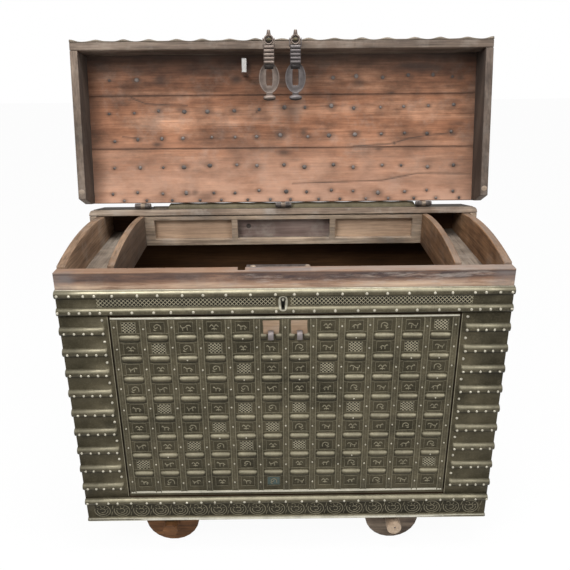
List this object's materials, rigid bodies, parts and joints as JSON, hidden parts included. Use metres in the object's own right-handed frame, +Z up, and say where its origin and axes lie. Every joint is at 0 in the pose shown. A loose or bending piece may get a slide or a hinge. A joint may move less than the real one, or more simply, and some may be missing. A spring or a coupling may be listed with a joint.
{
  "type": "wheeled storage chest",
  "caption": "Brass-clad wooden dowry chest on plank wheels with a rear-hinged lid, hanging hasps, a drop-front door and inner tills.",
  "frame": {"origin": "middle of the footprint's bounding box, on the floor", "axes": "+X to the chest's right as seen from the front, +Y to the back, +Z up; the front faces -Y"},
  "size_m": [1.196, 0.586, 1.4343],
  "materials": {
    "frame_wood": "old brown timber, dry and greyed by handling",
    "lid_wood": "reddish brown planks with rows of small nails",
    "wheel_wood": "worn plank wheels",
    "patinated_brass": "thin sheet with a dark olive patina, bright on the ribs",
    "brass_clad_batten": "wooden battens wrapped in dark patinated brass sheet",
    "forged_iron": "hand-forged, dull brown-grey",
    "worn_steel": "bright where it rubs"
  },
  "bodies": {
    "chest": {"front_top_rail": "frame_wood", "front_bottom_rail": "frame_wood", "front_stile_left": "frame_wood", "front_stile_right": "frame_wood", "end_board_left": "frame_wood", "end_board_right": "frame_wood", "back_board": "frame_wood", "floor_board": "frame_wood", "till_partition_left": "frame_wood", "till_partition_right": "frame_wood", "till_floor": "frame_wood", "rear_till_frame": "frame_wood", "rear_till_centre_panel": "frame_wood", "rear_top_board": "frame_wood", "rear_top_end_left": "frame_wood", "rear_top_end_right": "frame_wood", "rear_top_cladding": "patinated_brass", "lock_band": "patinated_brass", "base_band": "patinated_brass", "corner_cladding_left": "patinated_brass", "corner_cladding_right": "patinated_brass", "hinge_leaf_left": "forged_iron", "hinge_leaf_centre": "forged_iron", "hinge_leaf_right": "forged_iron", "hinge_pin_left": "worn_steel", "hinge_pin_centre": "worn_steel", "hinge_pin_right": "worn_steel", "lock_case": "forged_iron", "axle_left": "wheel_wood", "axle_right": "wheel_wood"},
    "lid": {"lid_plank_rear": "lid_wood", "lid_plank_middle": "lid_wood", "lid_plank_front": "lid_wood", "lid_front_wall": "lid_wood", "lid_end_left": "lid_wood", "lid_end_right": "lid_wood", "lid_cladding": "patinated_brass", "lid_front_cladding": "patinated_brass", "hinge_strap_left": "forged_iron", "hinge_strap_centre": "forged_iron", "hinge_strap_right": "forged_iron", "lock_striker": "worn_steel", "hasp_staple_left": "forged_iron", "hasp_staple_right": "forged_iron"},
    "door": {"door_board": "frame_wood", "door_sheet": "patinated_brass", "door_lattice": "brass_clad_batten", "door_staple_left": "forged_iron", "door_staple_right": "forged_iron"},
    "hasp_eye_left_body": {"hasp_eye_left": "forged_iron"},
    "hasp_left_body": {"hasp_left": "forged_iron"},
    "till_slide_left_body": {"till_slide_left": "frame_wood"},
    "hasp_eye_right_body": {"hasp_eye_right": "forged_iron"},
    "hasp_right_body": {"hasp_right": "forged_iron"},
    "till_slide_right_body": {"till_slide_right": "frame_wood"},
    "lock_bolt_body": {"lock_bolt": "worn_steel"},
    "wheel_front_left_body": {"wheel_front_left": "wheel_wood"},
    "wheel_front_right_body": {"wheel_front_right": "wheel_wood"},
    "wheel_rear_left_body": {"wheel_rear_left": "wheel_wood"},
    "wheel_rear_right_body": {"wheel_rear_right": "wheel_wood"}
  },
  "joints": [
    {"name": "lid_hinge", "type": "hinge", "parent": "chest", "child": "lid", "pos_m": [0, 0.16234, 0.93444], "axis": [1, 0, 0], "range_deg": [0, 102.4]},
    {"name": "hasp_eye_left_turn", "type": "hinge", "parent": "lid", "child": "hasp_eye_left_body", "pos_m": [-0.037, 0.1378, 1.40928], "axis": [1, 0, 0], "range_deg": [-102.4, 0]},
    {"name": "hasp_left_swing", "type": "hinge", "parent": "hasp_eye_left_body", "child": "hasp_left_body", "pos_m": [-0.037, 0.1378, 1.40928], "axis": [1, 0, 0], "range_deg": [-110, 6]},
    {"name": "hasp_eye_right_turn", "type": "hinge", "parent": "lid", "child": "hasp_eye_right_body", "pos_m": [0.037, 0.1378, 1.40928], "axis": [1, 0, 0], "range_deg": [-102.4, 0]},
    {"name": "hasp_right_swing", "type": "hinge", "parent": "hasp_eye_right_body", "child": "hasp_right_body", "pos_m": [0.037, 0.1378, 1.40928], "axis": [1, 0, 0], "range_deg": [-110, 6]},
    {"name": "door_drop", "type": "hinge", "parent": "chest", "child": "door", "pos_m": [0, -0.26866, 0.206], "axis": [1, 0, 0], "range_deg": [0, 90]},
    {"name": "lock_bolt_slide", "type": "slide", "parent": "chest", "child": "lock_bolt_body", "axis": [-1, 0, 0], "range_m": [0, 0.0205]},
    {"name": "till_slide_left_run", "type": "slide", "parent": "chest", "child": "till_slide_left_body", "axis": [1, 0, 0], "range_m": [0, 0.14]},
    {"name": "till_slide_right_run", "type": "slide", "parent": "chest", "child": "till_slide_right_body", "axis": [-1, 0, 0], "range_m": [0, 0.14]},
    {"name": "wheel_front_left_spin", "type": "hinge", "parent": "chest", "child": "wheel_front_left_body", "pos_m": [-0.34096, -0.21416, 0.078], "axis": [0, 1, 0], "continuous": true},
    {"name": "wheel_front_right_spin", "type": "hinge", "parent": "chest", "child": "wheel_front_right_body", "pos_m": [0.31398, -0.21416, 0.078], "axis": [0, 1, 0], "continuous": true},
    {"name": "wheel_rear_left_spin", "type": "hinge", "parent": "chest", "child": "wheel_rear_left_body", "pos_m": [-0.34096, 0.21984, 0.078], "axis": [0, 1, 0], "continuous": true},
    {"name": "wheel_rear_right_spin", "type": "hinge", "parent": "chest", "child": "wheel_rear_right_body", "pos_m": [0.31398, 0.21984, 0.078], "axis": [0, 1, 0], "continuous": true}
  ],
  "couplings": [
    {"joint": "hasp_eye_left_turn", "follows": "lid_hinge", "ratio": -1},
    {"joint": "hasp_eye_right_turn", "follows": "lid_hinge", "ratio": -1}
  ]
}
